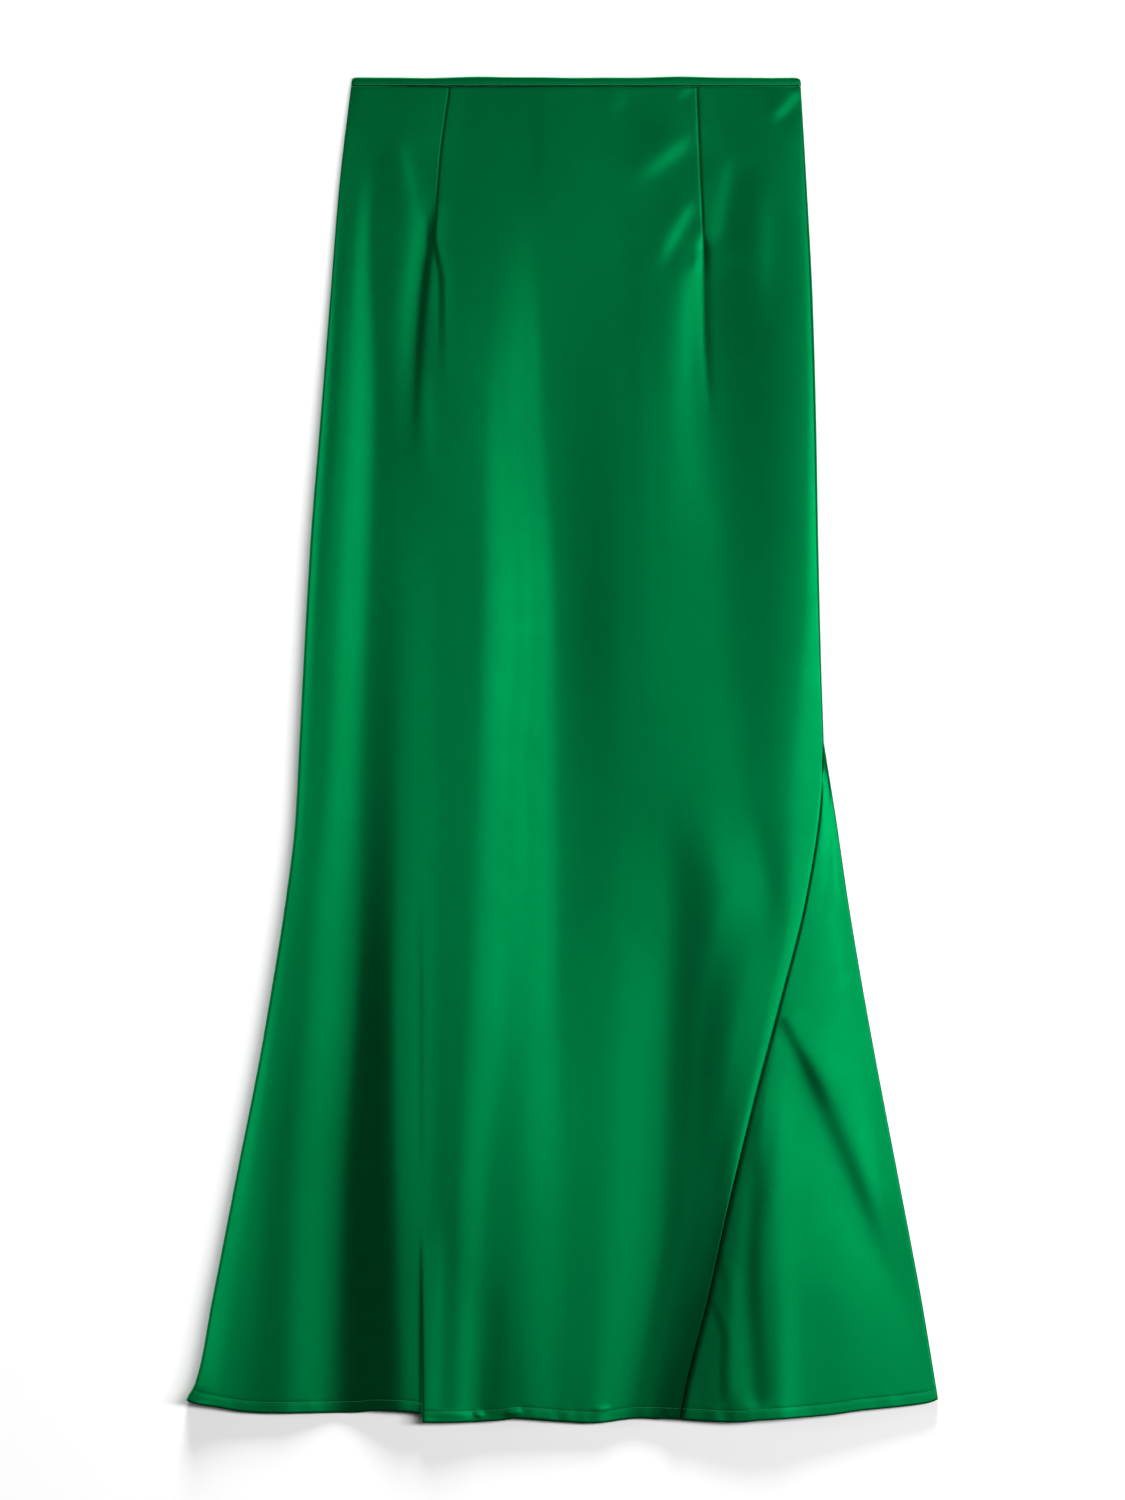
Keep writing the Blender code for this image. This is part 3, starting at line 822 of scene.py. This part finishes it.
def makeBack(finish):
    shares = np.linspace(0, 1, back["columns"])
    shares = shares - back["bunching"] * np.sin(2 * math.pi * shares)
    first, last = back["hem"]["across"][0], back["hem"]["across"][-1]
    down = rowDowns(skirt["bodyTop"], hemOf(back["hem"], first + shares * (last - first)), back["rows"])
    left = fromTable(leftEdge, "across", down)
    upper = fromTable(rightEdge, "across", down)
    right = np.where(down < insertEdge["down"][0], upper, fromTable(insertEdge, "across", down))
    across = left + shares * (right - left)
    clear = liftAbove(across, down) - back["clearLift"]
    soft = back["softness"]
    lift = back["follow"] * np.maximum((clear + np.hypot(clear, soft) - soft) / 2, 0)
    edge = roundedDrop(across - left, *back["edge"]) + roundedDrop(right - across, *back["edge"])
    height = lift + edge + creaseLift(across, down, back["creases"]) * np.clip(1 - lift, 0, 1)
    thickness = np.full(across.shape, skirt["cloth"])
    cloth = (across + back["clothPlace"], down)
    made = shell("backPanel", across, down, height, cloth, thickness, finish, outwards=-1)
    return made, across, down, height


# ---- waist binding

binding = {
    "depth": 6.5,
    "thick": 1.3,
    "corner": 4.0,
    "steps": 300,
    "turn": 12,
    "topSteps": 9,
    # the pressed part of its section: how far down, and how far in from its outer face
    "front": ((2.6, -0.05), (4.2, -0.02), (5.2, 0.12), (5.7, 0.1), (6.2, 0.18), (6.5, 0.5)),
    "inside": ((6.5, 0.4), (6.1, 0.05), (3.5, 0.0), (1.8, 0.0)),
    "topDown": 0.45,  # how far down its upper edge lies
    "waves": ((0.35, 21.0, 0.6), (0.25, 9.5, 1.9)),  # how that edge wanders: height, length and start
    "wavesChange": 47.0,
    "dip": 0.7,  # how much of the rounded corner the upper edge follows
    "flare": (10, 160),  # its middle, and how far from there its lower edge has moved out by 1 mm
    "stitchDown": 5.5,
    "stitchEnds": 4.0,
    "stitchSink": 0.06,
    "roughMore": 0.03,
    "shade": 0.97,
}


def bindingLoop():
    # the middle line of the flat loop that the strip runs round: its place and the way out from it
    left, right = leftEdge["across"][0], rightEdge["across"][0]
    thick, gap = binding["thick"], skirt["seamGap"]
    middle = thick + gap / 2
    radius = (thick + gap) / 2
    straight = np.linspace(left + radius + thick / 2, right - radius - thick / 2, binding["steps"])
    turn = np.linspace(-math.pi / 2, math.pi / 2, binding["turn"])[1:-1]
    over = [(x, middle + radius, 0.0, 1.0) for x in straight]
    under = [(x, middle - radius, 0.0, -1.0) for x in straight[::-1]]
    ways = [(math.cos(angle), math.sin(angle)) for angle in turn]
    rightTurn = [(straight[-1] + radius * out, middle - radius * up, out, -up) for out, up in ways]
    leftTurn = [(straight[0] - radius * out, middle + radius * up, -out, up) for out, up in ways]
    return over + rightTurn + under + leftTurn


def bindingSection():  # (down, out) round the strip
    half = binding["thick"] / 2
    turn = np.linspace(math.pi, 0, binding["topSteps"])
    section = [(half * (1 - math.sin(angle)), half * math.cos(angle)) for angle in turn]
    section += [(down, half - inwards) for down, inwards in binding["front"]]
    section += [(down, inwards - half) for down, inwards in binding["inside"]]
    return section


def bindingPoint(spot, down, out):
    across, height, outAcross, outUp = spot
    ends = max(min(across - leftEdge["across"][0], rightEdge["across"][0] - across), 0.0)
    corner = binding["corner"]
    dip = corner - math.sqrt(corner ** 2 - max(corner - ends, 0.0) ** 2)
    slow, quick = (size * math.sin(across / length + start) for size, length, start in binding["waves"])
    wave = slow + quick * math.sin(across / binding["wavesChange"])
    stay = 1.0 - down / binding["depth"]
    lower = down + stay * (dip * binding["dip"] + binding["topDown"] + wave)
    middle, half = binding["flare"]
    flare = (across - middle) / half * down / binding["depth"]
    return across + outAcross * out + flare, lower, height + outUp * out


def makeBinding(finish):
    # a folded strip that runs round the waist: its section is swept round a flat loop
    loop, section = bindingLoop(), bindingSection()
    vertices, flat = [], []
    walked = 0.0
    for i, spot in enumerate(loop):
        if i:
            walked += math.hypot(spot[0] - loop[i - 1][0], spot[1] - loop[i - 1][1])
        for down, out in section:
            across, lower, height = bindingPoint(spot, down, out)
            vertices.append((across * mm, (skirt["length"] / 2 - lower) * mm, height * mm))
            flat.append((walked, down))
    ring = len(section)
    faces = []
    for i in range(len(loop)):
        after = (i + 1) % len(loop)
        for j in range(ring):
            beside = (j + 1) % ring
            faces.append((i * ring + j, after * ring + j, after * ring + beside, i * ring + beside))
    return clothObject("waistBinding", vertices, faces, np.array(flat) * mm, finish)


def bindingRows():  # where the edge stitching runs, over the front and over the back
    half = binding["thick"] / 2
    left = leftEdge["across"][0] + binding["stitchEnds"]
    right = rightEdge["across"][0] - binding["stitchEnds"]
    rows = ([], [])
    for spot in bindingLoop():
        if left < spot[0] < right and spot[3]:
            point = bindingPoint(spot, binding["stitchDown"], half - binding["stitchSink"])
            rows[0 if spot[3] > 0 else 1].append(point)
    return rows


# ---- stitches

stitch = {
    "spacing": 2.5,
    "length": 1.9,
    "thick": 0.26,
    "least": 0.8,
    "most": 1.12,
    "sides": 6,
    "rings": 5,
    # each hem row: how far its middle lies above the cloth, and where it starts and ends
    "front": (0.06, (-265, 83)),
    "insert": (0.06, (85, 265)),
    "back": (0.1, (-265, 265)),
}


def stitchTree():
    # short threads along a line of points, each a little different in size
    tree = bpy.data.node_groups.new("stitchRow", "GeometryNodeTree")
    sockets = {
        "Line": "Geometry",
        "Spacing": "Float",
        "Length": "Float",
        "Thickness": "Float",
        "Seed": "Int",
        "Finish": "Material",
    }
    for name, kind in sockets.items():
        tree.interface.new_socket(name, in_out="INPUT", socket_type="NodeSocket" + kind)
    tree.interface.new_socket("Stitches", in_out="OUTPUT", socket_type="NodeSocketGeometry")
    build = Builder(tree)
    given = build.node("NodeGroupInput")
    line, spacing, length, thick, seed, finish = (build.out(given, name) for name in sockets)
    curve = build.made("GeometryNodeMeshToCurve", None, {"Mesh": line})
    points = build.node("GeometryNodeCurveToPoints", {"mode": "LENGTH"}, {"Curve": curve, "Length": spacing})
    faces = {"Segments": stitch["sides"], "Rings": stitch["rings"], "Radius": 0.5}
    ball = build.made("GeometryNodeMeshUVSphere", None, faces)
    shape = build.made("ShaderNodeCombineXYZ", None, (thick, thick, length))
    one = build.made("GeometryNodeTransform", None, {"Geometry": ball, "Scale": shape})
    sizes = {2: stitch["least"], 3: stitch["most"], "Seed": seed}  # 2, 3 and output 1 are the numbers
    size = build.made("FunctionNodeRandomValue", {"data_type": "FLOAT"}, sizes, 1)
    turn = build.out(points, "Rotation")
    placed = {"Points": build.out(points), "Instance": one, "Rotation": turn, "Scale": size}
    row = build.made("GeometryNodeInstanceOnPoints", None, placed)
    real = build.made("GeometryNodeRealizeInstances", None, {"Geometry": row})
    smooth = build.made("GeometryNodeSetShadeSmooth", None, {"Geometry": real})
    painted = build.made("GeometryNodeSetMaterial", None, {"Geometry": smooth, "Material": finish})
    build.node("NodeGroupOutput", None, (painted,))
    return tree


def makeStitches(name, rows, tree, finish, seed):
    vertices, edges = [], []
    for row in rows:
        start = len(vertices)
        vertices += [(x * mm, (skirt["length"] / 2 - down) * mm, z * mm) for x, down, z in row]
        edges += [(i, i + 1) for i in range(start, len(vertices) - 1)]
    mesh = bpy.data.meshes.new(name + "Line")
    mesh.from_pydata(vertices, edges, [])
    made = place(name, mesh)
    modifier = made.modifiers.new("stitches", "NODES")
    modifier.node_group = tree
    values = {
        "Spacing": stitch["spacing"] * mm,
        "Length": stitch["length"] * mm,
        "Thickness": stitch["thick"] * mm,
        "Seed": seed,
        "Finish": finish,
    }
    for item in tree.interface.items_tree:
        if item.in_out == "INPUT" and item.name in values:
            modifier[item.identifier] = values[item.name]
    graph = bpy.context.evaluated_depsgraph_get()
    plain = bpy.data.meshes.new_from_object(made.evaluated_get(graph))
    made.modifiers.clear()
    made.data = plain
    return made


# ---- floor, lights and camera

studio = {
    "pixel": 0.72,  # millimetres for each pixel of the photograph
    "frameHeight": 1500,
    "middle": (0.5, 0.1),  # pixels from the skirt's middle to the picture's, right and down
    "cameraHeight": 7.0,
    "sensor": 36.0,
    "farthest": 60.0,  # metres, like the camera's height and the floor
    "floor": (0.87, 0.87, 0.87, 1.0),
    "floorHalf": 12.0,
    "floorDown": 0.0004,
    "floorRoughness": 0.9,
    "floorSheen": 0.1,
    "world": 0.015,
    "lights": {
        # each soft light's place and width in metres, and its power
        "highRight": ((0.55, -0.03, 2.4), 0.65, 12.0),
        "upperRight": ((1.15, -0.03, 2.4), 0.65, 20.0),
        "right": ((1.85, -0.03, 2.4), 0.75, 27.0),
        "lowRight": ((3.0, -0.03, 2.4), 0.8, 45.0),
        "left": ((-3.6, 0.0, 1.05), 0.8, 31.0),
        "behindWaist": ((0.0, 6.5, 1.6), 2.4, 860.0),
    },
}


def makeLights():
    world = bpy.data.worlds.new("studioWorld")
    bpy.context.scene.world = world
    world.use_nodes = True
    world.node_tree.nodes["Background"].inputs["Color"].default_value = (1, 1, 1, 1)
    world.node_tree.nodes["Background"].inputs["Strength"].default_value = studio["world"]
    for name, (spot, width, power) in studio["lights"].items():
        data = bpy.data.lights.new(name + "Light", "AREA")
        data.shape = "DISK"
        data.size = width
        data.energy = power
        lamp = place(name + "Light", data)
        lamp.location = spot
        lamp.rotation_euler = (-Vector(spot)).to_track_quat("-Z", "Y").to_euler()
        lamp.visible_camera = False


def makeFloor():
    mesh = bpy.data.meshes.new("floor")
    half, down = studio["floorHalf"], -studio["floorDown"]
    corners = [(-half, -half, down), (half, -half, down), (half, half, down), (-half, half, down)]
    mesh.from_pydata(corners, [], [(0, 1, 2, 3)])
    floor = place("floor", mesh)
    paper = Finish("floorPaper")
    paper.feed("Base Color", studio["floor"])
    paper.feed("Roughness", studio["floorRoughness"])
    paper.feed("Specular IOR Level", studio["floorSheen"])
    mesh.materials.append(paper.material)


def makeCamera():
    pixel = studio["pixel"] * mm
    right, down = studio["middle"]
    data = bpy.data.cameras.new("photoCamera")
    data.sensor_fit = "VERTICAL"
    data.sensor_height = studio["sensor"]
    data.lens = studio["sensor"] * studio["cameraHeight"] / (studio["frameHeight"] * pixel)
    data.clip_end = studio["farthest"]
    camera = place("photoCamera", data)
    camera.location = (right * pixel, -down * pixel, studio["cameraHeight"])
    bpy.context.scene.camera = camera
    bpy.context.scene.view_settings.view_transform = "Standard"
    bpy.context.scene.view_settings.look = "None"


# ---- the skirt

makeLights()
makeFloor()
makeCamera()
print("studio done")
satinCloth = satinFinish("greenSatin", satin["roughness"], 1.0)
bindingCloth = satinFinish("foldedSatin", satin["roughness"] + binding["roughMore"], binding["shade"])

frontPanel, *frontPlace = makeFront(satinCloth)
print("front panel done", len(frontPanel.data.polygons))
flareInsert, *insertPlace = makeInsert(satinCloth)
print("flare insert done", len(flareInsert.data.polygons))
backPanel, *backPlace = makeBack(satinCloth)
print("back panel done", len(backPanel.data.polygons))
waistBinding = makeBinding(bindingCloth)
print("waist binding done", len(waistBinding.data.polygons))

sewingThread = threadFinish()
stitchRow = stitchTree()
sewn = {
    "frontStitches": [hemRow(*frontPlace, *stitch["front"])],
    "insertStitches": [hemRow(*insertPlace, *stitch["insert"])],
    "backStitches": [hemRow(*backPlace, *stitch["back"])],
    "bindingStitches": bindingRows(),
}
stitches = {}
for seed, (name, rows) in enumerate(sewn.items()):
    stitches[name] = makeStitches(name, rows, stitchRow, sewingThread, seed)
    print(name, "done", len(stitches[name].data.polygons))

for piece, node, slot in (
    (frontPanel, "front_panel", "satin"),
    (flareInsert, "flare_insert", "satin"),
    (backPanel, "back_panel", "satin"),
    (waistBinding, "waist_binding", "binding"),
):
    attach(piece, "root")
    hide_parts(node)
for name, piece in stitches.items():
    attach(piece, "root")
    "binding" if name == "bindingStitches" else "satin"
